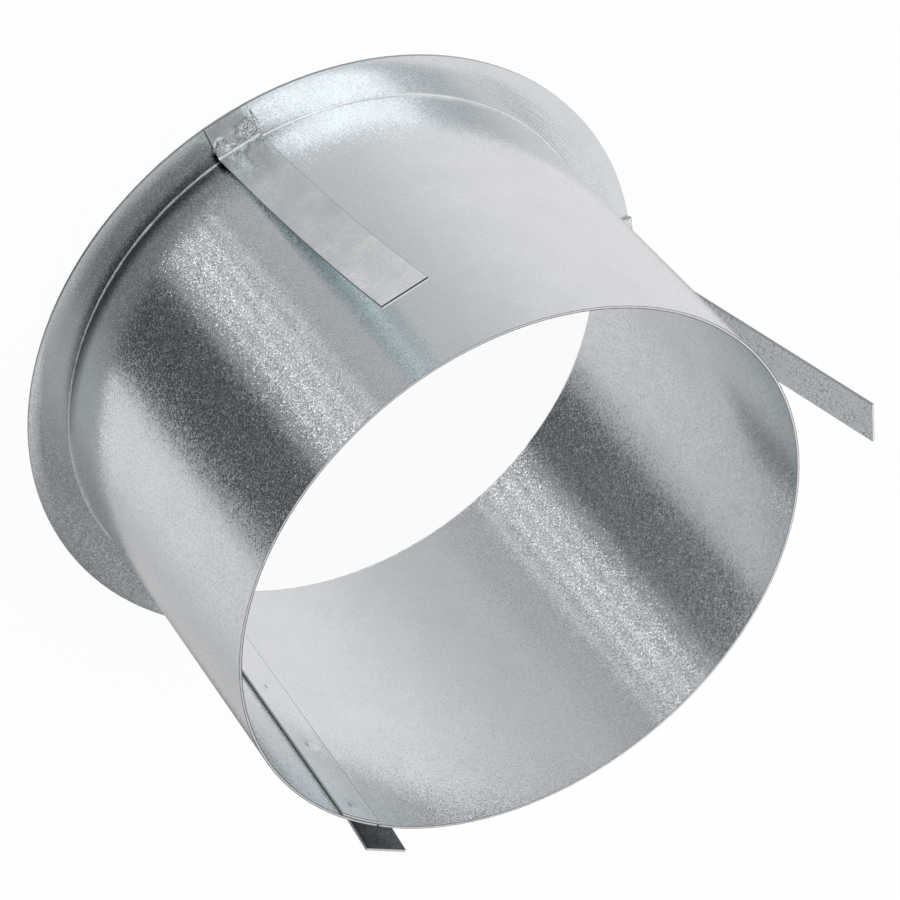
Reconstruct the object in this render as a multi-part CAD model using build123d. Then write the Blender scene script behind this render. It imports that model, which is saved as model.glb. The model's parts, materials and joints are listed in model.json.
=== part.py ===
from build123d import *
import os
from math import cos, degrees, radians, sin, tan

# Ceiling sleeve: a rolled sheet-steel duct sleeve with a turned-out flange and three welded-on straps.
# It stands on the room-side face of its flange, at z = 0, with the axis of the bore along +Z.
# Lengths are in millimetres. Angles are in degrees, anticlockwise about +Z from +X.

# Rolled wall and flange, one sheet
bore_diameter = 125.0          # standard round-duct size
sheet_thickness = 0.6
sleeve_height = 84.2           # room-side face of the flange to the free rim
flange_width = 9.1             # flange beyond the outside of the wall
root_radius = 0.4              # hollow corner between the wall and the back of the flange

# Lap seam of the rolled wall
seam_angle = 26.75             # square end of the outer layer
lap_width = 10.0               # tongue inside the bore, behind the outer layer
joggle_length = 1.1            # run of the step that sets the tongue inwards
lap_start = 3.0                # height at which the tongue is notched back, clear of the root bend
butt_gap = 0.3                 # slit where the ends of the sheet meet, below the tongue

# Spot welds, as the shallow marks of the electrodes
lap_weld_diameter = 4.4
lap_weld_height = 19.7         # lowest weld of the lap above the room-side face
lap_weld_pitch = 20.1
lap_weld_count = 4
leg_weld_diameter = 3.2
leg_weld_spacing = 6.2         # two welds side by side on each strap leg
leg_weld_inset = 4.8           # their centres in from the rim of the flange
weld_depth = 0.12

# Straps, three equal strips folded once: a short leg on the back of the flange and a long arm
strap_width = 10.0
strap_thickness = 0.6
strap_arm = 83.05              # length of the arm above its bend
strap_wall_gap = 0.5           # bend to the outside of the wall, at the nearest line
strap_root_gap = 0.65          # how much more open the strap's bend is than the hollow corner
leg_overhang = 0.3             # square end of the leg past the rim of the flange

# How each strap stands: its place round the sleeve, the lean of its arm away from the wall at the bend,
# the bow, which is more lean gained evenly along the arm, and the drift of the arm to one side
front_strap_angle = -100.0
front_strap_lean_angle = 5.8
front_strap_bow_angle = 12.9
front_strap_drift_angle = -1.3

left_strap_angle = 156.75
left_strap_lean_angle = 12.5
left_strap_bow_angle = 0.0
left_strap_drift_angle = -0.7

right_strap_angle = 32.3
right_strap_lean_angle = 3.2
right_strap_bow_angle = 0.0
right_strap_drift_angle = -0.6

# Sizes that follow from those above
bore_radius = bore_diameter / 2
outer_radius = bore_radius + sheet_thickness
flange_radius = outer_radius + flange_width
tongue_radius = bore_radius - sheet_thickness
lap_angle = degrees(lap_width / bore_radius)
joggle_angle = degrees(joggle_length / bore_radius)
tongue_angle = seam_angle - lap_angle
joggle_end_angle = seam_angle + joggle_angle
bend_outside = root_radius + strap_root_gap
bend_inside = bend_outside - strap_thickness
bend_x = outer_radius + strap_wall_gap + bend_outside
bend_z = sheet_thickness + bend_outside


def polar(radius, angle):
    """A point of the plan, from its radius and its angle about the axis."""
    return (radius * cos(radians(angle)), radius * sin(radians(angle)))


def weld_mark(diameter):
    """The cap of a ball that presses one electrode mark into a surface at z = 0."""
    ball_radius = (diameter ** 2 / 4 + weld_depth ** 2) / (2 * weld_depth)
    ball = Pos(0, 0, ball_radius - weld_depth) * Sphere(ball_radius)
    return split(ball, bisect_by=Plane.XY.offset(weld_depth), keep=Keep.BOTTOM)


def wall_with_lap():
    """The wall above the notch: one sheet rolled round, stepped inwards and lapped behind its own end."""
    outer_face = make_face([
        CenterArc((0, 0), outer_radius, joggle_end_angle, 360 - joggle_angle).edge(),
        Line(polar(outer_radius, seam_angle), polar(bore_radius, seam_angle)).edge(),
        Line(polar(bore_radius, seam_angle), polar(outer_radius, joggle_end_angle)).edge(),
    ])
    bore_face = make_face([
        CenterArc((0, 0), bore_radius, joggle_end_angle, 360 - joggle_angle - lap_angle).edge(),
        Line(polar(bore_radius, tongue_angle), polar(tongue_radius, tongue_angle)).edge(),
        CenterArc((0, 0), tongue_radius, tongue_angle, lap_angle).edge(),
        Line(polar(tongue_radius, seam_angle), polar(bore_radius, joggle_end_angle)).edge(),
    ])
    section = outer_face - bore_face
    return Pos(0, 0, lap_start) * extrude(section, amount=sleeve_height - lap_start, dir=(0, 0, 1))


def flange_and_root():
    """The foot of the wall, turned out through a small bend into the flat flange, with its butt slit."""
    centre = (outer_radius + root_radius, sheet_thickness + root_radius)
    profile = make_face([
        Line((bore_radius, lap_start), (bore_radius, centre[1])).edge(),
        CenterArc(centre, root_radius + sheet_thickness, 180, 90).edge(),
        Line((centre[0], 0), (flange_radius, 0)).edge(),
        Line((flange_radius, 0), (flange_radius, sheet_thickness)).edge(),
        Line((flange_radius, sheet_thickness), (centre[0], sheet_thickness)).edge(),
        CenterArc(centre, root_radius, 180, 90).edge(),
        Line((outer_radius, centre[1]), (outer_radius, lap_start)).edge(),
        Line((outer_radius, lap_start), (bore_radius, lap_start)).edge(),
    ])
    turned = revolve(Plane.XZ * profile, axis=Axis.Z, revolution_arc=360)
    slit_length = flange_radius - tongue_radius + sheet_thickness
    slit = Box(slit_length, butt_gap, lap_start, align=(Align.MIN, Align.MIN, Align.MIN))
    return turned - Rot(0, 0, seam_angle) * Pos(tongue_radius, 0, 0) * slit


def flanged_sleeve():
    """Flange, root bend and lapped wall as the one sheet that they are, with the welds of the lap."""
    sleeve = flange_and_root() + wall_with_lap()
    mark = Pos(tongue_radius, 0, 0) * Rot(0, -90, 0) * weld_mark(lap_weld_diameter)
    for number in range(lap_weld_count):
        height = lap_weld_height + number * lap_weld_pitch
        sleeve -= Rot(0, 0, seam_angle - lap_angle / 2) * Pos(0, 0, height) * mark
    return sleeve


def arm_edge(start, lean, bow, length):
    """One long edge of an arm seen edge on: straight, or bowed outwards by the given turn."""
    along = (sin(radians(lean)), cos(radians(lean)))
    if bow == 0:
        return Line(start, (start[0] + along[0] * length, start[1] + along[1] * length)).edge()
    return JernArc(start, along, length / radians(bow), -bow).edge()


def strip_profile(lean, bow):
    """The folded strip seen edge on: leg, bend and arm, with x outwards from the axis and y upwards."""
    start = 180 - lean
    turn = 90 + lean
    leg_end = flange_radius + leg_overhang
    leg_top = sheet_thickness + strap_thickness
    bend_back = CenterArc((bend_x, bend_z), bend_outside, start, turn).edge()
    bend_front = CenterArc((bend_x, bend_z), bend_inside, start, turn).edge()
    back = bend_back @ 0
    front = bend_front @ 0
    arm_back = arm_edge((back.X, back.Y), lean, bow, strap_arm)
    arm_front = arm_edge((front.X, front.Y), lean, bow, strap_arm - strap_thickness * radians(bow))
    return make_face([
        Line((leg_end, sheet_thickness), (bend_x, sheet_thickness)).edge(),
        bend_back,
        arm_back,
        Line(arm_back @ 1, arm_front @ 1).edge(),
        arm_front,
        bend_front,
        Line((bend_x, leg_top), (leg_end, leg_top)).edge(),
        Line((leg_end, leg_top), (leg_end, sheet_thickness)).edge(),
    ])


def strap(angle, lean, bow, drift):
    """One folded strip: its profile swept sideways, then trimmed to its outline seen square on."""
    half_width = strap_width / 2
    arm_foot = bend_z + bend_outside * sin(radians(lean))
    arm_rise = strap_arm + strap_thickness
    shift = arm_rise * tan(radians(drift))
    swept = extrude(Plane.XZ * strip_profile(lean, bow), amount=half_width + abs(shift), both=True)
    outline = Polyline(
        (-half_width, 0),
        (half_width, 0),
        (half_width, arm_foot),
        (half_width + shift, arm_foot + arm_rise),
        (-half_width + shift, arm_foot + arm_rise),
        (-half_width, arm_foot),
        close=True,
    )
    strip = swept & extrude(Plane.YZ * make_face(outline), amount=flange_radius + arm_rise)

    mark = weld_mark(leg_weld_diameter)
    for side in (-1, 1):
        across = side * leg_weld_spacing / 2
        strip -= Pos(flange_radius - leg_weld_inset, across, sheet_thickness + strap_thickness) * mark
    return Rot(0, 0, angle) * strip


pieces = {
    "flanged_sleeve": flanged_sleeve(),
    "front_strap": strap(
        front_strap_angle,
        front_strap_lean_angle,
        front_strap_bow_angle,
        front_strap_drift_angle,
    ),
    "left_strap": strap(
        left_strap_angle,
        left_strap_lean_angle,
        left_strap_bow_angle,
        left_strap_drift_angle,
    ),
    "right_strap": strap(
        right_strap_angle,
        right_strap_lean_angle,
        right_strap_bow_angle,
        right_strap_drift_angle,
    ),
}

os.makedirs("parts", exist_ok=True)
for name, piece in pieces.items():
    export_step(piece, f"parts/{name}.step")
    print(name, "solids", len(piece.solids()), "volume", round(piece.volume, 1))
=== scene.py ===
# %% [markdown]
# # A galvanised ceiling sleeve
# A duct sleeve is a short tube of zinc-coated steel sheet with a flat collar, which a fitter holds in
# a ceiling with three thin straps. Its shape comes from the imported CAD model, and this lesson gives it
# the look of real galvanised metal. The CAD nodes stay as they are: they already have the true sheet
# edges, lap seam, bends and weld marks, so Blender adds finish, small welding traces and light.

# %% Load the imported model
import json
import math

import bmesh
import bpy
from mathutils import Matrix, Quaternion, Vector, noise

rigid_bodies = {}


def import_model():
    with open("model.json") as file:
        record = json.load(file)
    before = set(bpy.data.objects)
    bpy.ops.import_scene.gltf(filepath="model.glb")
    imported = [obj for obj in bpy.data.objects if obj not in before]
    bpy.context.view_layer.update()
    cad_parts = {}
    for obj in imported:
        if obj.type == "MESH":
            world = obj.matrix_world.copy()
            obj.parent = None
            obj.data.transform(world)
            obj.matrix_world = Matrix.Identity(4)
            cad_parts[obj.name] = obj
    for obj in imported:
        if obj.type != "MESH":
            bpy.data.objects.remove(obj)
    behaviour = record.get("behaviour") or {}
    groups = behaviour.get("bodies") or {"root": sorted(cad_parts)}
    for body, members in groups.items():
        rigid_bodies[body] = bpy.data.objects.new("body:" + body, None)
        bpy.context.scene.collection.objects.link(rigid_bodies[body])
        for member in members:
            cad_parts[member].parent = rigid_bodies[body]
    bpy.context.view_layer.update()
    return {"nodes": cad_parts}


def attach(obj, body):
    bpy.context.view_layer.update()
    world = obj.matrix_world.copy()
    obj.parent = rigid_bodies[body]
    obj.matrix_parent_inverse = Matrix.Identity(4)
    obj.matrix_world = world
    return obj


for leftover in list(bpy.data.objects):
    bpy.data.objects.remove(leftover)

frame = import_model()
nodes = frame["nodes"]

# %% [markdown]
# ## The camera
# The picture looks down on the sleeve at about 46 degrees, with the camera rolled far over, so that
# the bore opens towards the lower right. A camera like that could be turned by hand until it fits.
# Here its place, its aim and its roll are worked out from the ellipses of the two rims, which fix them
# closely.

# %% Camera
MM = 0.001
CAMERA_PLACE = Vector((0.04, -482.61, 506.40)) * MM
CAMERA_AIM = Vector((-4.53, 1.32, 42.0)) * MM
CAMERA_ROLL = math.radians(139.704)
CAMERA_LENS = 129.53

camera = bpy.data.objects.new("camera", bpy.data.cameras.new("camera"))
bpy.context.scene.collection.objects.link(camera)
camera.data.lens = CAMERA_LENS
camera.data.sensor_width = 36.0
camera.data.clip_start = 0.01
camera.location = CAMERA_PLACE
sight = (CAMERA_AIM - CAMERA_PLACE).to_track_quat("-Z", "Y")
camera.rotation_mode = "QUATERNION"
camera.rotation_quaternion = sight @ Quaternion((0.0, 0.0, 1.0), CAMERA_ROLL)
bpy.context.scene.camera = camera
print("camera", [round(c, 4) for c in camera.location], "lens", camera.data.lens)

# %% [markdown]
# ## Colours and nodes
# Every colour in this file is written as people read it on a screen, as an sRGB hex value. Blender's
# sockets take linear light, so one function turns the first into the second. A second small function
# adds a node, sets what is constant on its own sockets and links the rest. It keeps each material
# below short enough to read.

# %% Two helpers for materials
def linear(hex_colour):
    """An sRGB hex colour as the linear RGBA that Blender's sockets take."""
    parts = [int(hex_colour[start:start + 2], 16) / 255 for start in (1, 3, 5)]
    return [*(c / 12.92 if c <= 0.04045 else ((c + 0.055) / 1.055) ** 2.4 for c in parts), 1.0]


def add_node(tree, kind, inputs=None, **settings):
    """Adds one node. An input that is another node's output is linked, and any other value is set."""
    node = tree.nodes.new(kind)
    for name, value in settings.items():
        setattr(node, name, value)
    for socket, value in (inputs or {}).items():
        if isinstance(value, bpy.types.NodeSocket):
            tree.links.new(value, node.inputs[socket])
        else:
            node.inputs[socket].default_value = value
    return node


print("white paper is", [round(c, 3) for c in linear("#F4F4F2")])

# %% [markdown]
# ## The studio
# Bare metal has almost no colour of its own: it shows the room. The sleeve was photographed in a white
# tent with grey gaps, a black flag, which is a cloth that puts a dark stripe in the shine, and a row
# of thin tubes that make the grain sparkle. Real panels would do, but each would throw its own shadow.
# Here the world hangs them up: every panel is a soft-edged patch of sky, and only shiny surfaces see
# it. The rest sees plain white. The panels were placed one by one, by following the mirror path from
# each part of the sleeve out into the room.

# %% Studio surround
TENT_GREY = "#C8C6C7"
RISE_EDGE = 4.0
PANELS = [
    # azimuth, half width, lowest, highest and side softness in degrees, then tone and strength
    (155, 55, -90, 0, 35, "#EFEBED", 1.0),        # white side, left and behind
    (12, 24, -41, -24, 12, "#B6B4B5", 1.0),       # grey cloth, right
    (6, 21, -90, -42.5, 13, "#EAE6E7", 1.0),      # white side, right
    (-98, 8, -90, -12, 7, "#B6B3B5", 1.0),        # gap between two cloths
    (-74, 17, -90, -12, 5, "#6A6A6C", 1.0),       # cloth behind the tubes
    (-43, 16, -90, -35, 2.5, "#626365", 1.0),     # black flag, upper half
    (-36.5, 21.5, -90, -43.6, 4, "#48494B", 1.0), # black flag, lower half
    (-87, 0.6, -90, -12, 0.3, "#FFFAFB", 2.4),    # five tubes
    (-80, 0.6, -90, -12, 0.3, "#FFFAFB", 3.4),
    (-73, 0.6, -90, -12, 0.3, "#FFFAFB", 3.6),
    (-66, 0.6, -90, -12, 0.3, "#FFFAFB", 3.2),
    (-59.5, 0.5, -90, -12, 0.3, "#FFFAFB", 1.3),
    (88, 22, -43, -31.5, 4, "#2A2D2F", 1.0),      # dark doorway behind the sleeve
    (75, 26, -28.5, -16, 6, "#D6D3D4", 1.0),      # low grey cloth behind the sleeve
    (0, 181, -10, 90, 1, "#868586", 1.0),         # upper cloth
    (169, 78, -8, 90, 4, "#EEEAEC", 1.0),         # upper white side, left and behind
    (10, 28, -8, 90, 22, "#BBB9BA", 1.0),         # upper grey side, right
    (-45, 18, -8, 90, 13, "#747375", 1.0),        # upper dark side, in front
    (-86, 18, 14, 36, 9, "#CCCACB", 1.0),         # upper white side, in front
    (-84, 22, 42, 62, 9, "#6C6B6C", 1.0),         # grey cloth above that
    (157, 17, 38, 62, 12, "#C8C6C8", 1.0),        # upper grey patch, left
    (-110, 30, -5, 17, 8, "#FFFBFC", 1.35),       # two white strips beside the front strap
    (-110, 30, 17, 27, 8, "#FFFBFC", 2.0),
    (62, 12, 51, 62, 4, "#DEDBDC", 1.0),          # white flap under the roof
    (90, 16, 20, 37, 3, "#FFFCFC", 1.3),          # strip that lights the rim
    (0, 181, 60, 90, 1, "#E1DEDF", 1.0),          # roof
]


def hang(tree, behind, azimuth, elevation, panel):
    """Mixes one panel of the tent over what hangs behind it."""
    centre, half_width, lowest, highest, edge, tone, strength = panel
    away = add_node(tree, "ShaderNodeMath", {0: azimuth, 1: centre}, operation="SUBTRACT").outputs[0]
    turned = add_node(tree, "ShaderNodeMath", {0: away, 1: 180.0, 2: -180.0}, operation="WRAP").outputs[0]
    aside = add_node(tree, "ShaderNodeMath", {0: turned}, operation="ABSOLUTE").outputs[0]
    borders = []
    if half_width < 180:
        borders.append((aside, half_width + edge, half_width - edge))
    if lowest > -90:
        borders.append((elevation, lowest - RISE_EDGE, lowest + RISE_EDGE))
    if highest < 90:
        borders.append((elevation, highest + RISE_EDGE, highest - RISE_EDGE))
    cover = 1.0
    for place, outside, inside in borders:
        within = add_node(
            tree, "ShaderNodeMapRange", {0: place, 1: outside, 2: inside},
            interpolation_type="SMOOTHSTEP",
        ).outputs[0]
        cover = add_node(tree, "ShaderNodeMath", {0: within, 1: cover}, operation="MULTIPLY").outputs[0]
    light = [strength * part for part in linear(tone)]
    return add_node(tree, "ShaderNodeMix", {0: cover, 6: behind, 7: light}, data_type="RGBA").outputs[2]


world = bpy.data.worlds.new("white_tent")
bpy.context.scene.world = world
world.use_nodes = True
tree = world.node_tree
tree.nodes.clear()
direction = add_node(tree, "ShaderNodeTexCoord").outputs["Generated"]
split = add_node(tree, "ShaderNodeSeparateXYZ", {0: direction}).outputs
turn = add_node(tree, "ShaderNodeMath", {0: split["Y"], 1: split["X"]}, operation="ARCTAN2").outputs[0]
rise = add_node(tree, "ShaderNodeMath", {0: split["Z"]}, operation="ARCSINE").outputs[0]
azimuth = add_node(tree, "ShaderNodeMath", {0: turn}, operation="DEGREES").outputs[0]
elevation = add_node(tree, "ShaderNodeMath", {0: rise}, operation="DEGREES").outputs[0]
tent = linear(TENT_GREY)
for panel in PANELS:
    tent = hang(tree, tent, azimuth, elevation, panel)
path = add_node(tree, "ShaderNodeLightPath").outputs
shiny = add_node(
    tree, "ShaderNodeMath", {0: path["Is Glossy Ray"], 1: path["Is Transmission Ray"]},
    operation="MAXIMUM",
).outputs[0]
surround = add_node(
    tree, "ShaderNodeMix", {0: shiny, 6: linear("#FFFFFF"), 7: tent}, data_type="RGBA",
).outputs[2]
background = add_node(tree, "ShaderNodeBackground", {"Color": surround, "Strength": 1.0})
add_node(tree, "ShaderNodeOutputWorld", {"Surface": background.outputs[0]})
world.cycles.sampling_method = "NONE"
print("hung", len(PANELS), "panels of the tent")

# %% [markdown]
# ## Floor and key light
# The floor is matt white paper. Paper lit by this tent is nearly white already. A share of plain white
# for the camera takes it the rest of the way and leaves a faint shadow where the sleeve stands. Shiny
# rays pass it by, so that the metal mirrors the tent below as well, as it does when a sleeve hangs
# free in front of the camera. One softbox, high to the left of the front strap, gives the flange its
# bright patch. Its strength is worked out from its size, so that it can be made larger without getting
# brighter.

# %% Floor and softbox
FLOOR_SIDE = 6.0
PAPER_SHARE = 0.92

paper = bpy.data.materials.new("matt_white_paper")
paper.use_nodes = True
tree = paper.node_tree
tree.nodes.clear()
path = add_node(tree, "ShaderNodeLightPath").outputs
share = add_node(
    tree, "ShaderNodeMath", {0: path["Is Camera Ray"], 1: PAPER_SHARE}, operation="MULTIPLY",
).outputs[0]
matt = add_node(tree, "ShaderNodeBsdfDiffuse", {"Color": linear("#F6F6F5")}).outputs[0]
white = add_node(tree, "ShaderNodeEmission", {"Color": linear("#FFFFFF"), "Strength": 1.0}).outputs[0]
sheet = add_node(tree, "ShaderNodeMixShader", {0: share, 1: matt, 2: white}).outputs[0]
add_node(tree, "ShaderNodeOutputMaterial", {"Surface": sheet})

mesh = bpy.data.meshes.new("floor")
shape = bmesh.new()
bmesh.ops.create_grid(shape, x_segments=8, y_segments=8, size=FLOOR_SIDE / 2)
shape.to_mesh(mesh)
shape.free()
floor = bpy.data.objects.new("floor", mesh)
bpy.context.scene.collection.objects.link(floor)
floor.location.z = -0.05 * MM
floor.visible_glossy = False
mesh.materials.append(paper)

SOFTBOX_DISTANCE = 0.9


def softbox(name, azimuth, elevation, width, height, radiance):
    """A lamp behind white cloth, aimed at the sleeve. Radiance 1 is as bright as white paper."""
    lamp = bpy.data.lights.new(name, "AREA")
    lamp.shape = "RECTANGLE"
    lamp.size = width
    lamp.size_y = height
    lamp.energy = radiance * math.pi * width * height
    box = bpy.data.objects.new(name, lamp)
    bpy.context.scene.collection.objects.link(box)
    level = math.cos(math.radians(elevation))
    box.location = SOFTBOX_DISTANCE * Vector((
        level * math.cos(math.radians(azimuth)),
        level * math.sin(math.radians(azimuth)),
        math.sin(math.radians(elevation)),
    ))
    box.rotation_euler = (-box.location).to_track_quat("-Z", "Y").to_euler()
    box.visible_camera = False
    print(name, round(lamp.energy, 3), "W at", [round(c, 2) for c in box.location])


softbox("flange_softbox", azimuth=-153, elevation=50, width=0.60, height=0.40, radiance=0.74)

# %% [markdown]
# ## Galvanised sheet: its tone
# The sleeve is cold-rolled steel dipped in molten zinc, which freezes into a satin skin: metallic, a
# little blue and never quite even. The next five cells build that skin layer by layer, from the place
# of each point on the object. The tone comes first: clouds from the cooling of the bath, pits of
# dross, and thin dark borders between the larger crystals, which are called spangle. A picture of zinc
# would be quicker, but its spots would look the same on every part.

# %% Clouds, pits and spangle borders
CLOUD_MM = 9.0
PIT_MM = 0.7
RAGGED_MM = 0.6


def zinc_tone(tree, place, light, dark, cloud_depth, spangle_mm, border_depth):
    """The colour of the skin, and the shade, the clouds and the border lines that it is made of."""
    cloud = add_node(
        tree, "ShaderNodeTexNoise",
        {"Vector": place, "Scale": 1 / (CLOUD_MM * MM), "Detail": 5.0, "Roughness": 0.62},
    ).outputs[0]
    tone = add_node(tree, "ShaderNodeMapRange", {0: cloud, 1: 0.7, 2: 0.3, 4: cloud_depth}).outputs[0]
    speck = add_node(
        tree, "ShaderNodeTexNoise", {"Vector": place, "Scale": 1 / (PIT_MM * MM), "Detail": 1.0},
    ).outputs
    pit = add_node(tree, "ShaderNodeMapRange", {0: speck[0], 1: 0.66, 2: 0.74, 3: 0.0, 4: 0.6}).outputs[0]
    ragged = add_node(
        tree, "ShaderNodeVectorMath", {0: speck[1], 1: (RAGGED_MM * MM,) * 3, 2: place},
        operation="MULTIPLY_ADD",
    ).outputs[0]
    border = add_node(
        tree, "ShaderNodeTexVoronoi", {"Vector": ragged, "Scale": 1 / (spangle_mm * MM)},
        feature="DISTANCE_TO_EDGE",
    ).outputs["Distance"]
    groove = add_node(tree, "ShaderNodeMapRange", {0: border, 1: 0.0, 2: 0.10, 3: 1.0, 4: 0.0}).outputs[0]
    kept = add_node(
        tree, "ShaderNodeMapRange", {0: cloud, 1: 0.38, 2: 0.58, 3: 0.1 * border_depth, 4: border_depth},
    ).outputs[0]
    line = add_node(tree, "ShaderNodeMath", {0: groove, 1: kept}, operation="MULTIPLY").outputs[0]
    stain = add_node(tree, "ShaderNodeMath", {0: tone, 1: line}, operation="ADD").outputs[0]
    shade = add_node(tree, "ShaderNodeMath", {0: stain, 1: pit}, operation="ADD").outputs[0]
    colour = add_node(
        tree, "ShaderNodeMix", {0: shade, 6: linear(light), 7: linear(dark)}, data_type="RGBA",
    ).outputs[2]
    return colour, shade, cloud, line


print("clouds of", CLOUD_MM, "mm and pits of", PIT_MM, "mm")

# %% [markdown]
# ## Galvanised sheet: marks of making, and painted shade and highlight
# A tool turned the foot of the wall out into the flange and scuffed the bend, so a pale, dull line
# runs round it, and its pale colour also paints the highlight along the bend. The foot of the wall on
# one side is given painted shade, and the narrow slit beside the bend of the front strap a painted
# black shadow. All three could be painted by hand on an unwrapped sheet. Here they follow from the
# distance to the axis, the height and the side, so they stay put on any mesh.

# %% Scuffed bend, painted shade at the foot and painted shadow in the slit
OUTER_RADIUS = 63.1 * MM
SHADED_SIDE = (0.31, -0.95, 0.0)
SLIT_ALONG = (0.985, -0.174, 0.0)
SLIT_LIMITS_MM = {"across": [(6.1, 5.4), (3.6, 4.2)], "radius": [(67.5, 65.2)], "up": [(5.5, 2.5)]}


def scuffed_bend(tree, radius, cloud, colour, satin):
    """The colour and the roughness of the skin, with the pale line along the bend, partly scuff and partly
    painted highlight.
    """
    from_wall = add_node(
        tree, "ShaderNodeMapRange", {0: radius, 1: OUTER_RADIUS + 0.04 * MM, 2: OUTER_RADIUS + 0.14 * MM},
    ).outputs[0]
    to_flange = add_node(
        tree, "ShaderNodeMapRange", {0: radius, 1: OUTER_RADIUS + 0.60 * MM, 2: OUTER_RADIUS + 0.30 * MM},
    ).outputs[0]
    patch = add_node(tree, "ShaderNodeMapRange", {0: cloud, 1: 0.30, 2: 0.56, 4: 0.8}).outputs[0]
    bend = add_node(tree, "ShaderNodeMath", {0: from_wall, 1: to_flange}, operation="MULTIPLY").outputs[0]
    scuff = add_node(tree, "ShaderNodeMath", {0: bend, 1: patch}, operation="MULTIPLY").outputs[0]
    # The pale colour of the scuff is partly wear and partly a painted highlight along the bend.
    pale = add_node(
        tree, "ShaderNodeMix", {0: scuff, 6: colour, 7: linear("#F8F9F9")}, data_type="RGBA",
    ).outputs[2]
    dull = add_node(tree, "ShaderNodeMapRange", {0: scuff, 3: satin, 4: 0.55}).outputs[0]
    return pale, dull


def shaded_side_share(tree, level):
    """How far a point lies on the side that is given painted shade, from 0 to 1."""
    side = add_node(
        tree, "ShaderNodeVectorMath", {0: level, 1: SHADED_SIDE}, operation="DOT_PRODUCT",
    ).outputs["Value"]
    return add_node(
        tree, "ShaderNodeMapRange", {0: side, 1: 0.72 * OUTER_RADIUS, 2: 0.97 * OUTER_RADIUS},
    ).outputs[0]


def paint_foot_shade(tree, up, shade_side, on_flange, colour, depth):
    """The colour with painted shade at the foot of the wall."""
    low = add_node(
        tree, "ShaderNodeMapRange", {0: up, 1: 5.0 * MM, 2: 1.8 * MM, 3: 0.0, 4: depth},
        interpolation_type="SMOOTHSTEP",
    ).outputs[0]
    on_wall = add_node(tree, "ShaderNodeMath", {0: 1.0, 1: on_flange}, operation="SUBTRACT").outputs[0]
    shaded_wall = add_node(tree, "ShaderNodeMath", {0: shade_side, 1: on_wall}, operation="MULTIPLY").outputs[0]
    foot_shade_mask = add_node(tree, "ShaderNodeMath", {0: low, 1: shaded_wall}, operation="MULTIPLY").outputs[0]
    # Painted shade: on one side the foot of the wall is mixed towards dark grey.
    return add_node(
        tree, "ShaderNodeMix", {0: foot_shade_mask, 6: colour, 7: linear("#50565A")}, data_type="RGBA",
    ).outputs[2]


def paint_slit_shadow(tree, place, radius, up, shade_side, colour):
    """The colour with a painted black shadow in the slit beside the bend of the front strap."""
    across = add_node(
        tree, "ShaderNodeVectorMath", {0: place, 1: SLIT_ALONG}, operation="DOT_PRODUCT",
    ).outputs["Value"]
    burnt = shade_side
    for value, limits in zip((across, radius, up), SLIT_LIMITS_MM.values()):
        for outside, inside in limits:
            within = add_node(
                tree, "ShaderNodeMapRange", {0: value, 1: outside * MM, 2: inside * MM},
            ).outputs[0]
            burnt = add_node(tree, "ShaderNodeMath", {0: within, 1: burnt}, operation="MULTIPLY").outputs[0]
    # Painted shadow: the slit beside the bend is mixed to near black.
    return add_node(
        tree, "ShaderNodeMix", {0: burnt, 6: colour, 7: linear("#121415")}, data_type="RGBA",
    ).outputs[2]


print("bend at radius", round(OUTER_RADIUS / MM, 1), "mm, slit within", SLIT_LIMITS_MM, "mm")

# %% [markdown]
# ## Galvanised strip: painted dark corners
# The two corners of a strip are given painted shade, so that they look like thin dark outlines, as
# corners that mirror a dark part of the room would. The Bevel node gives the normal of a rounded corner,
# and where that normal turns away from the flat face, a corner is near. It costs time in every sample,
# so only strips have it.

# %% Painted dark corners of a strip
CORNER_MM = 0.22


def paint_corner_shade(tree, colour, depth):
    """The colour with painted shade, as dark lines, where the face meets a corner."""
    rounded = add_node(tree, "ShaderNodeBevel", {"Radius": CORNER_MM * MM}, samples=8).outputs[0]
    flat = add_node(tree, "ShaderNodeNewGeometry").outputs["Normal"]
    alike = add_node(
        tree, "ShaderNodeVectorMath", {0: rounded, 1: flat}, operation="DOT_PRODUCT",
    ).outputs["Value"]
    corner = add_node(
        tree, "ShaderNodeMapRange", {0: alike, 1: 0.99, 2: 0.88, 3: 0.0, 4: depth},
    ).outputs[0]
    # Painted shade: near a corner the colour is mixed to dark grey.
    return add_node(
        tree, "ShaderNodeMix", {0: corner, 6: colour, 7: linear("#3E4345")}, data_type="RGBA",
    ).outputs[2]


print("corners darkened over", CORNER_MM, "mm")

# %% [markdown]
# ## Galvanised sheet: waves, rings and the fallen edge
# Rolling leaves long shallow waves along the wall, the flanging tool leaves fine rings, and the outer
# few millimetres of the flange fall away a little where the tool let go. Each is some hundredths of a
# millimetre, so a bump is enough: the outline wouldn't change by a pixel if they were meshed.

# %% Waves, rings and the edge of the flange
WAVE_MM = 10.0
WAVE_DEPTH = 0.03
RING_MM = 0.5
RING_DEPTH = 0.012
FLANGE_RADIUS = 72.2 * MM
FALL_MM = 4.2
FALL_DEPTH = 0.30
GROOVE_DEPTH = 0.03


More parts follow.
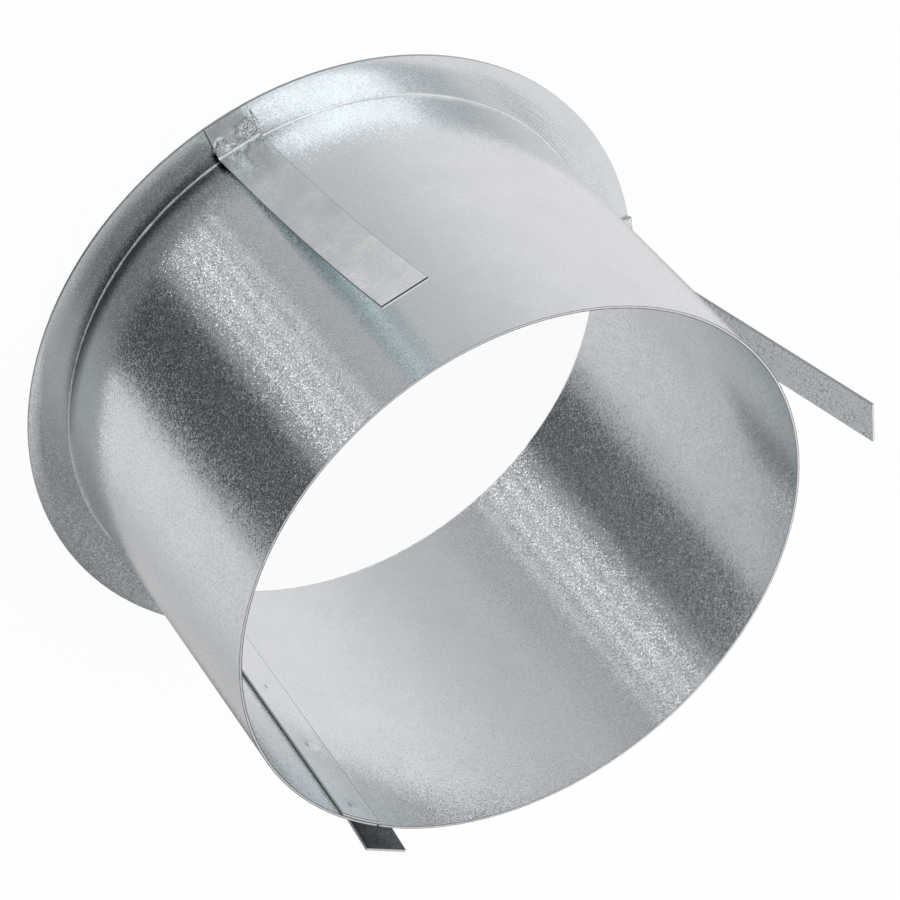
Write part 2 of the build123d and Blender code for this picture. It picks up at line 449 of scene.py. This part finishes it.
def formed_normal(tree, place, radius, on_flange, line):
    """The normal of the formed sheet, before its crystals. Depths are in millimetres."""
    drawn = add_node(
        tree, "ShaderNodeVectorMath", {0: place, 1: (1, 1, 0.15)}, operation="MULTIPLY",
    ).outputs[0]
    wave = add_node(
        tree, "ShaderNodeTexNoise", {"Vector": drawn, "Scale": 1 / (WAVE_MM * MM), "Detail": 2.0},
    ).outputs[0]
    rolled = add_node(tree, "ShaderNodeMath", {0: wave, 1: WAVE_DEPTH}, operation="MULTIPLY").outputs[0]
    step = add_node(
        tree, "ShaderNodeMath", {0: radius, 1: 1 / (RING_MM * MM)}, operation="MULTIPLY",
    ).outputs[0]
    ring = add_node(
        tree, "ShaderNodeTexNoise", {"W": step, "Scale": 1.0, "Detail": 2.0}, noise_dimensions="1D",
    ).outputs[0]
    ring_height = add_node(
        tree, "ShaderNodeMath", {0: on_flange, 1: RING_DEPTH}, operation="MULTIPLY",
    ).outputs[0]
    turned = add_node(
        tree, "ShaderNodeMath", {0: ring, 1: ring_height, 2: rolled}, operation="MULTIPLY_ADD",
    ).outputs[0]
    to_edge = add_node(
        tree, "ShaderNodeMapRange", {0: radius, 1: FLANGE_RADIUS - FALL_MM * MM, 2: FLANGE_RADIUS},
    ).outputs[0]
    crown = add_node(tree, "ShaderNodeMath", {0: to_edge, 1: 2.2}, operation="POWER").outputs[0]
    fallen = add_node(
        tree, "ShaderNodeMath", {0: crown, 1: -FALL_DEPTH, 2: turned}, operation="MULTIPLY_ADD",
    ).outputs[0]
    height = add_node(
        tree, "ShaderNodeMath", {0: line, 1: -GROOVE_DEPTH, 2: fallen}, operation="MULTIPLY_ADD",
    ).outputs[0]
    return add_node(
        tree, "ShaderNodeBump", {"Height": height, "Strength": 1.0, "Distance": MM},
    ).outputs[0]


print("edge of the flange falls", FALL_DEPTH, "mm over", FALL_MM, "mm")

# %% [markdown]
# ## Galvanised sheet: crystals
# Every crystal of the skin leans its own way and is etched more or less, so the shine breaks into
# specks wherever a light part of the room turns to dark. Noise in a bump gives waves, not crystals.
# Cells that tilt the normal by a random amount, most of them hardly and a few a lot, give true specks.
# Real crystals here are about 0.1 mm wide. They are drawn a little over one pixel wide, so that they
# show.

# %% Leaning and etched crystals
GRAIN_MM = 0.22


def crystals(tree, place, on_flange, formed, dull, wall_lean, flange_lean, etch):
    """The normal and the roughness of the skin, with the lean and the etching of each crystal."""
    cell = add_node(
        tree, "ShaderNodeTexVoronoi", {"Vector": place, "Scale": 1 / (GRAIN_MM * MM)},
    ).outputs["Color"]
    lean = add_node(
        tree, "ShaderNodeVectorMath", {0: cell, 1: (0.5, 0.5, 0.5)}, operation="SUBTRACT",
    ).outputs[0]
    amount = add_node(
        tree, "ShaderNodeMapRange", {0: on_flange, 3: wall_lean, 4: flange_lean},
    ).outputs[0]
    length = add_node(tree, "ShaderNodeVectorMath", {0: lean}, operation="LENGTH").outputs["Value"]
    rare = add_node(tree, "ShaderNodeMath", {0: length, 1: 2.0}, operation="POWER").outputs[0]
    share = add_node(tree, "ShaderNodeMath", {0: rare, 1: amount}, operation="MULTIPLY").outputs[0]
    tilt = add_node(tree, "ShaderNodeVectorMath", {0: lean, "Scale": share}, operation="SCALE").outputs[0]
    leaning = add_node(tree, "ShaderNodeVectorMath", {0: tilt, 1: formed}, operation="ADD").outputs[0]
    normal = add_node(tree, "ShaderNodeVectorMath", {0: leaning}, operation="NORMALIZE").outputs[0]
    dice = add_node(tree, "ShaderNodeSeparateXYZ", {0: cell}).outputs["X"]
    odd = add_node(tree, "ShaderNodeMath", {0: dice, 1: 2.5}, operation="POWER").outputs[0]
    etched = add_node(
        tree, "ShaderNodeMath", {0: odd, 1: etch, 2: dull}, operation="MULTIPLY_ADD",
    ).outputs[0]
    return normal, etched


print("crystals of", GRAIN_MM, "mm")

# %% [markdown]
# ## The zinc finishes
# One function now puts the layers together, and each finish is a set of amounts. The sheet of the
# sleeve is almost mirror-smooth with strong specks. The strips are duller. The front one is pale and
# even, and its back, which lies close to the wall, is painted light, near white, so that it brightens
# the gap behind it. The other two show a fine net of spangle, and the back of the right one, beside
# the seam, is painted dark shade. Zinc is a metal, so it keeps the default IOR.

# %% Galvanised sheet and strips
def galvanised(
    name, light, dark, rough, etch, wall_lean, flange_lean,
    cloud_depth=1.0, spangle_mm=1.5, border_depth=0.0, foot_shade_depth=0.0, corner_shade_depth=0.0,
):
    """Hot-dip zinc, from its tone, its marks of making, its painted shade, its form and its crystals."""
    material = bpy.data.materials.new(name)
    material.use_nodes = True
    tree = material.node_tree
    tree.nodes.clear()
    place = add_node(tree, "ShaderNodeTexCoord").outputs["Object"]
    up = add_node(tree, "ShaderNodeSeparateXYZ", {0: place}).outputs["Z"]
    level = add_node(
        tree, "ShaderNodeVectorMath", {0: place, 1: (1, 1, 0)}, operation="MULTIPLY",
    ).outputs[0]
    radius = add_node(tree, "ShaderNodeVectorMath", {0: level}, operation="LENGTH").outputs["Value"]
    on_flange = add_node(
        tree, "ShaderNodeMapRange", {0: radius, 1: OUTER_RADIUS + 0.3 * MM, 2: OUTER_RADIUS + 0.8 * MM},
    ).outputs[0]

    colour, shade, cloud, line = zinc_tone(tree, place, light, dark, cloud_depth, spangle_mm, border_depth)
    satin = add_node(tree, "ShaderNodeMapRange", {0: shade, 3: rough, 4: rough + 0.04}).outputs[0]
    # Painted shade at the foot of the wall and painted shadow in the slit beside the front strap.
    shade_side = shaded_side_share(tree, level) if foot_shade_depth else None
    if foot_shade_depth:
        colour = paint_foot_shade(tree, up, shade_side, on_flange, colour, foot_shade_depth)
    colour, dull = scuffed_bend(tree, radius, cloud, colour, satin)
    if foot_shade_depth:
        colour = paint_slit_shadow(tree, place, radius, up, shade_side, colour)
    if corner_shade_depth:
        colour = paint_corner_shade(tree, colour, corner_shade_depth)
    formed = formed_normal(tree, place, radius, on_flange, line)
    normal, etched = crystals(tree, place, on_flange, formed, dull, wall_lean, flange_lean, etch)
    zinc = add_node(
        tree, "ShaderNodeBsdfPrincipled",
        {"Base Color": colour, "Metallic": 1.0, "Roughness": etched, "Normal": normal},
    )
    add_node(tree, "ShaderNodeOutputMaterial", {"Surface": zinc.outputs[0]})
    return material


sheet_zinc = galvanised(
    "galvanised_sheet_cold_rolled", "#E5EBED", "#DFE5E7",
    rough=0.085, etch=0.28, wall_lean=0.30, flange_lean=0.12, border_depth=0.05, foot_shade_depth=0.85,
)
strip_zinc = galvanised(
    "galvanised_strip_slit", "#F2F6F7", "#D6DDDE",
    rough=0.14, etch=0.1, wall_lean=0.16, flange_lean=0.16, border_depth=0.45, corner_shade_depth=0.85,
)
spangled_zinc = galvanised(
    "galvanised_strip_spangled", "#F6F9F8", "#848C8E",
    rough=0.14, etch=0.1, wall_lean=0.16, flange_lean=0.16,
    cloud_depth=0.25, spangle_mm=0.85, border_depth=0.8, corner_shade_depth=0.85,
)
# Painted light: the back of the front strap is near white, to brighten the gap behind it.
painted_lit_back_zinc = galvanised(
    "galvanised_strip_painted_lit_back", "#FBFDFD", "#F6F9F9",
    rough=0.10, etch=0.0, wall_lean=0.1, flange_lean=0.1,
)
# Painted shade: the back of the right strap is dark, for the shade beside the seam.
painted_shade_back_zinc = galvanised(
    "galvanised_strip_painted_shade_back", "#9AA1A3", "#5F6769",
    rough=0.12, etch=0.0, wall_lean=0.1, flange_lean=0.1,
    cloud_depth=0.5, spangle_mm=0.85, border_depth=0.3, corner_shade_depth=0.85,
)
print("made", [zinc.name for zinc in (sheet_zinc, strip_zinc, spangled_zinc, painted_lit_back_zinc, painted_shade_back_zinc)])

# %% [markdown]
# ## Sheared edges: bare steel with painted light and shade
# The sheet and the strips were cut after they were coated, so their edges are bare steel that the
# shear tore and rubbed. Their tones also paint light and shade: the side edges are given painted shade,
# so they show as thin dark lines, while the rim and the ends of the strips are given a painted highlight
# in their middle, and the rim a painted dark reflection at its two corners. The edge of the lap has
# painted shadow on the half that lies against the bore, and the end of the front strap has painted
# shade on its front half. The sides of that strap are painted black near the weld, for the shadow in
# the slit beside its bend. All of them are further finishes of the same CAD nodes, for the faces that
# are one sheet thick, so no edge needs a mesh of its own.

# %% Bare steel of the edges, with painted light and shade
SHEET = 0.6 * MM
BORE_RADIUS = 62.5 * MM
TEAR_MM = 0.5


def cut_steel(name, torn, rubbed, corner, middle, half, below=None):
    """Bare sheared steel: torn and rubbed in a band of each layer, with a corner tone beside the band.

    Below gives another tone for the part under a height, and the two heights between which it fades; here
    it paints shade.
    """
    material = bpy.data.materials.new(name)
    material.use_nodes = True
    tree = material.node_tree
    tree.nodes.clear()
    place = add_node(tree, "ShaderNodeTexCoord").outputs["Object"]
    tear = add_node(
        tree, "ShaderNodeTexNoise", {"Vector": place, "Scale": 1 / (TEAR_MM * MM), "Detail": 3.0},
    ).outputs[0]
    bare = add_node(
        tree, "ShaderNodeMix", {0: tear, 6: linear(torn), 7: linear(rubbed)}, data_type="RGBA",
    ).outputs[2]
    level = add_node(
        tree, "ShaderNodeVectorMath", {0: place, 1: (1, 1, 0)}, operation="MULTIPLY",
    ).outputs[0]
    radius = add_node(tree, "ShaderNodeVectorMath", {0: level}, operation="LENGTH").outputs["Value"]
    inwards = add_node(tree, "ShaderNodeMath", {0: radius, 1: middle}, operation="SUBTRACT").outputs[0]
    layer = add_node(
        tree, "ShaderNodeMath", {0: inwards, 1: SHEET / 2, 2: -SHEET / 2}, operation="WRAP",
    ).outputs[0]
    aside = add_node(tree, "ShaderNodeMath", {0: layer}, operation="ABSOLUTE").outputs[0]
    near_face = add_node(
        tree, "ShaderNodeMapRange", {0: aside, 1: half - 0.04 * MM, 2: half + 0.04 * MM},
    ).outputs[0]
    colour = add_node(
        tree, "ShaderNodeMix", {0: near_face, 6: bare, 7: linear(corner)}, data_type="RGBA",
    ).outputs[2]
    if below:
        tone, low, high = below
        up = add_node(tree, "ShaderNodeSeparateXYZ", {0: place}).outputs["Z"]
        above = add_node(tree, "ShaderNodeMapRange", {0: up, 1: low, 2: high}).outputs[0]
        colour = add_node(
            tree, "ShaderNodeMix", {0: above, 6: linear(tone), 7: colour}, data_type="RGBA",
        ).outputs[2]
    burr = add_node(
        tree, "ShaderNodeBump", {"Height": tear, "Strength": 1.0, "Distance": 0.05 * MM},
    ).outputs[0]
    steel = add_node(
        tree, "ShaderNodeBsdfPrincipled",
        {"Base Color": colour, "Metallic": 1.0, "Roughness": 0.4, "Normal": burr},
    )
    add_node(tree, "ShaderNodeOutputMaterial", {"Surface": steel.outputs[0]})
    return material


WALL_MIDDLE = BORE_RADIUS + SHEET / 2
BAND = 0.2 * MM
front_top = max(corner.co.z for corner in nodes["front_strap"].data.vertices)
# Side edges: bare steel grey, partly painted shade.
shaded_edge_steel = cut_steel("sheared_steel_side_edge_painted_shade", "#9AA0A2", "#BEC3C5", "#A2A8AA", WALL_MIDDLE, BAND)
# Strap sides: painted shade, and painted black towards the foot, for the shadow in the slit at the weld.
shaded_strap_side_steel = cut_steel(
    "sheared_steel_strap_side_painted_shade", "#666B6D", "#8A9092", "#6C7173", WALL_MIDDLE, BAND,
    below=("#16191A", 4 * MM, 12 * MM),
)
# Rim: painted highlight in its middle and painted dark reflection at its two corners.
lit_rim_steel = cut_steel("sheared_steel_rim_edge_painted_highlight", "#DADDDD", "#F6F7F7", "#4A4F51", WALL_MIDDLE, 0.18 * MM)
# Strap ends: painted highlight.
lit_end_steel = cut_steel("sheared_steel_strap_end_painted_highlight", "#E2E5E5", "#FAFBFB", "#E6E9E9", WALL_MIDDLE, BAND)
# Front strap end: painted highlight, with painted shade on its lower part.
lit_and_shaded_front_end_steel = cut_steel(
    "sheared_steel_front_strap_end_painted_light_and_shade", "#E2E5E5", "#FAFBFB", "#E6E9E9", WALL_MIDDLE, BAND,
    below=("#3A3F41", front_top - 0.12 * MM, front_top - 0.08 * MM),
)
# Lap edge: painted shadow on the half against the bore, lighter on the other half.
shaded_lip_steel = cut_steel(
    "sheared_steel_lap_edge_painted_shadow", "#3E4345", "#5E6365", "#D4D9DA", BORE_RADIUS - 0.09 * MM, 0.10 * MM,
)
edges = (shaded_edge_steel, shaded_strap_side_steel, lit_rim_steel, lit_end_steel, lit_and_shaded_front_end_steel, shaded_lip_steel)
print("made", [steel.name for steel in edges])

# %% [markdown]
# ## Which faces are edges
# A face that looks along the sheet is a cut edge. On the sleeve that is the rim, the edge of the
# flange and the ends of the rolled sheet. On a strap it is the two long sides and the two ends, and
# the face towards the wall is its back. Faces could be picked by number, but a number holds for one
# mesh only. These tests use the direction and the place of a face, so they hold for any packing of the
# same shape.

# %% Finish of every CAD face
STRAP_ANGLES = {"front_strap": -100.0, "left_strap": 156.75, "right_strap": 32.3}
SLEEVE_HEIGHT = 84.2 * MM
STRAP_TIP = 70 * MM
STRAP_FOOT = 4 * MM
ZINC, SIDE_EDGE, TOP_EDGE, LOW_EDGE, BACK = range(5)


def sleeve_finish(face):
    """The finish of a face of the sleeve."""
    out = Vector((face.center.x, face.center.y, 0)).normalized()
    along = Vector((-out.y, out.x, 0))
    if face.center.z > SLEEVE_HEIGHT - 0.02 * MM:
        return TOP_EDGE
    across = abs(face.normal.dot(along))
    in_bore = face.center.xy.length < BORE_RADIUS
    on_end = across > 0.8 or in_bore and across > 0.3
    if in_bore and across > 0.8:
        return LOW_EDGE
    on_flange_edge = face.center.xy.length > FLANGE_RADIUS - 0.1 * MM and abs(face.normal.z) < 0.5
    return SIDE_EDGE if on_flange_edge or on_end else ZINC


def strap_finish(face, angle):
    """The finish of a face of a strap that stands at the given angle."""
    out = Vector((math.cos(math.radians(angle)), math.sin(math.radians(angle)), 0))
    along = Vector((-out.y, out.x, 0))
    if face.center.z > STRAP_TIP and face.normal.z > 0.8:
        return TOP_EDGE
    if face.center.z < 2 * SHEET and face.normal.dot(out) > 0.8:
        return LOW_EDGE
    if face.center.z > STRAP_FOOT and face.normal.dot(out) < -0.8:
        return BACK
    return SIDE_EDGE if abs(face.normal.dot(along)) > 0.8 else ZINC


FINISHES = {
    "flanged_sleeve": [sheet_zinc, shaded_edge_steel, lit_rim_steel, shaded_lip_steel],
    "front_strap": [strip_zinc, shaded_strap_side_steel, lit_and_shaded_front_end_steel, shaded_edge_steel, painted_lit_back_zinc],
    "left_strap": [spangled_zinc, shaded_edge_steel, lit_end_steel, shaded_edge_steel, spangled_zinc],
    "right_strap": [spangled_zinc, shaded_edge_steel, lit_end_steel, shaded_edge_steel, painted_shade_back_zinc],
}

for name, finishes in FINISHES.items():
    mesh = nodes[name].data
    mesh.materials.clear()
    for finish in finishes:
        mesh.materials.append(finish)
    counts = [0] * len(finishes)
    for face in mesh.polygons:
        in_strap = name in STRAP_ANGLES
        face.material_index = strap_finish(face, STRAP_ANGLES[name]) if in_strap else sleeve_finish(face)
        counts[face.material_index] += 1
    print(name, "faces of each finish", counts)

# %% [markdown]
# ## Weld crusts
# Each strap leg was spot-welded to the flange twice, and the welder burnt through the zinc. What is
# left is a bright crust of frozen spatter on each spot and a bead squeezed out along one side. A bump
# can't give its outline, so it is a mesh: a round patch raised by noise, and a wavy tube with an
# uneven girth, which sit on the leg and reach a little into it. The noise is fixed, so the crust is
# the same in every run.

# %% Weld crust meshes
LEG_TOP = 1.2 * MM
CRUST_RINGS, CRUST_SPOKES = 14, 56
SPATTER_MM = 0.30
CRUST_SUNK = 0.02 * MM


def spatter(x, y, seed):
    """Height of frozen spatter at a place, from 0 to 1."""
    rough = noise.fractal(Vector((x, y, 0)) / (SPATTER_MM * MM) + Vector((0, 0, 7.3 * seed)), 0.7, 2.0, 3)
    return min(1.0, max(0.0, 0.5 + 0.55 * rough))


def add_crust(shape, out, across, size, height, seed):
    """Adds a patch of crust, with its middle at the given place of a strap that stands at angle 0."""
    top, bottom = [], []
    for ring in range(CRUST_RINGS + 1):
        share = ring / CRUST_RINGS
        row = []
        for spoke in range(CRUST_SPOKES):
            angle = math.tau * spoke / CRUST_SPOKES
            ragged = 1 + 0.35 * noise.noise(Vector((2.6 * math.cos(angle), 2.6 * math.sin(angle), seed)))
            reach = size * share * ragged
            x, y = out + reach * math.cos(angle), across + reach * math.sin(angle)
            swell = 1 - share ** 3
            rise = height * swell * spatter(x, y, seed) - CRUST_SUNK
            row.append(shape.verts.new((x, y, LEG_TOP + rise)))
        top.append(row)
    for vertex in top[-1]:
        bottom.append(shape.verts.new((vertex.co.x, vertex.co.y, LEG_TOP - 0.25 * MM)))
    top.append(bottom)
    for inner, outer in zip(top, top[1:]):
        for spoke in range(CRUST_SPOKES):
            following = (spoke + 1) % CRUST_SPOKES
            shape.faces.new((inner[spoke], outer[spoke], outer[following], inner[following]))
    shape.faces.new(list(reversed(bottom)))


def add_bead(shape, points, girth, seed):
    """Adds an uneven bead that follows points given in millimetres on a strap that stands at angle 0."""
    curve = bpy.data.curves.new("bead_line", "CURVE")
    curve.dimensions = "3D"
    line = curve.splines.new("NURBS")
    line.points.add(len(points) - 1)
    for point, place in zip(line.points, points):
        point.co = (*(part * MM for part in place), 1.0)
        point.radius = 0.75 + 0.5 * abs(noise.noise(Vector(place) * 1.7))
    line.order_u = 3
    line.use_endpoint_u = True
    line.resolution_u = 12
    curve.bevel_depth = girth
    curve.bevel_resolution = 4
    curve.use_fill_caps = True
    carrier = bpy.data.objects.new("bead_line", curve)
    tube = bpy.data.meshes.new_from_object(carrier)
    for vertex in tube.vertices:
        rough = noise.fractal(vertex.co / (SPATTER_MM * MM) + Vector((seed, 0, 0)), 0.7, 2.0, 3)
        vertex.co.z += 0.35 * girth * rough
    shape.from_mesh(tube)
    bpy.data.objects.remove(carrier)
    bpy.data.curves.remove(curve)
    bpy.data.meshes.remove(tube)


print("crust features", SPATTER_MM, "mm,", CRUST_RINGS * CRUST_SPOKES, "faces a patch")

# %% [markdown]
# ## Welds of the three legs
# The front leg shows in the photograph: one large spot near its outer corner, with a bead beside it,
# and a smaller one close to the bend. The other two legs lie behind the sleeve and get the same kind
# of welds, each a little different. The crust is zinc and steel that froze together, so it is brighter
# and rougher than the strip, and its crevices are burnt dark. Its tone is also painted lighter towards
# its peaks, a painted highlight on the spatter. It is only partly metal, because of the oxide on it.

# %% Weld pieces
WELDS = {
    "front_strap": {
        "spots": [(67.2, -2.7, 2.8), (65.9, 3.0, 2.1), (65.6, 0.9, 1.0)],
        "bead": [(64.9, -4.6, 1.0), (65.7, -5.2, 1.1), (66.5, -4.9, 1.25), (67.4, -5.35, 1.1),
                 (68.2, -5.0, 1.2), (69.0, -5.3, 1.0), (69.9, -5.1, 0.95)],
    },
    "left_strap": {
        "spots": [(67.4, -3.1, 1.8), (67.4, 3.1, 2.0)],
        "bead": [(66.2, 4.9, 1.05), (67.0, 5.2, 1.15), (67.8, 4.95, 1.2), (68.8, 5.2, 1.0)],
    },
    "right_strap": {
        "spots": [(67.4, -3.1, 2.0), (67.2, 3.2, 1.8)],
        "bead": [(65.9, -4.9, 1.05), (66.8, -5.25, 1.15), (67.7, -5.0, 1.2), (68.6, -5.2, 1.0)],
    },
}

CRUST_HEIGHT = 0.26 * MM
BEAD_GIRTH = 0.38 * MM

crust_zinc = bpy.data.materials.new("weld_crust_zinc_and_steel")
crust_zinc.use_nodes = True
tree = crust_zinc.node_tree
tree.nodes.clear()
place = add_node(tree, "ShaderNodeTexCoord").outputs["Object"]
scale = add_node(
    tree, "ShaderNodeTexNoise", {"Vector": place, "Scale": 1 / (SPATTER_MM * MM), "Detail": 3.0},
).outputs[0]
up = add_node(tree, "ShaderNodeSeparateXYZ", {0: place}).outputs["Z"]
peak = add_node(
    tree, "ShaderNodeMapRange", {0: up, 1: LEG_TOP + 0.04 * MM, 2: LEG_TOP + 0.17 * MM},
).outputs[0]
# Painted highlight: the crust is mixed from grey at its foot to near white at its peaks.
frozen = add_node(
    tree, "ShaderNodeMix", {0: peak, 6: linear("#B2B8BA"), 7: linear("#FDFDFD")}, data_type="RGBA",
).outputs[2]
crevice = add_node(tree, "ShaderNodeMapRange", {0: scale, 1: 0.40, 2: 0.46}).outputs[0]
burnt = add_node(
    tree, "ShaderNodeMix", {0: crevice, 6: linear("#5A6063"), 7: frozen}, data_type="RGBA",
).outputs[2]
dull = add_node(tree, "ShaderNodeMapRange", {0: scale, 3: 0.38, 4: 0.18}).outputs[0]
ripple = add_node(
    tree, "ShaderNodeBump", {"Height": scale, "Strength": 1.0, "Distance": 0.05 * MM},
).outputs[0]
crust = add_node(
    tree, "ShaderNodeBsdfPrincipled",
    {"Base Color": burnt, "Metallic": 0.6, "Roughness": dull, "Normal": ripple},
)
add_node(tree, "ShaderNodeOutputMaterial", {"Surface": crust.outputs[0]})

for number, (strap, weld) in enumerate(WELDS.items()):
    shape = bmesh.new()
    for spot, (out, across, size) in enumerate(weld["spots"]):
        add_crust(shape, out * MM, across * MM, size * MM, CRUST_HEIGHT, seed=3 * number + spot + 1)
    add_bead(shape, weld["bead"], BEAD_GIRTH, seed=5.0 * number)
    bmesh.ops.remove_doubles(shape, verts=shape.verts, dist=0.0001 * MM)
    shape.transform(Matrix.Rotation(math.radians(STRAP_ANGLES[strap]), 4, "Z"))
    mesh = bpy.data.meshes.new(f"{strap}_welds")
    shape.to_mesh(mesh)
    shape.free()
    mesh.materials.append(crust_zinc)
    mesh.shade_smooth()
    piece = bpy.data.objects.new(f"{strap}_welds", mesh)
    bpy.context.scene.collection.objects.link(piece)
    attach(piece, "root")
    print(piece.name, len(mesh.polygons), "faces")

# %% [markdown]
# ## Closing
# The view transform is the plain one, so that a colour renders as it is written. Light goes to and fro
# between a strap and the wall many times, so shiny rays may bounce twelve times.

# %% View transform and bounces
bpy.context.scene.view_settings.view_transform = "Standard"
bpy.context.scene.cycles.glossy_bounces = 12
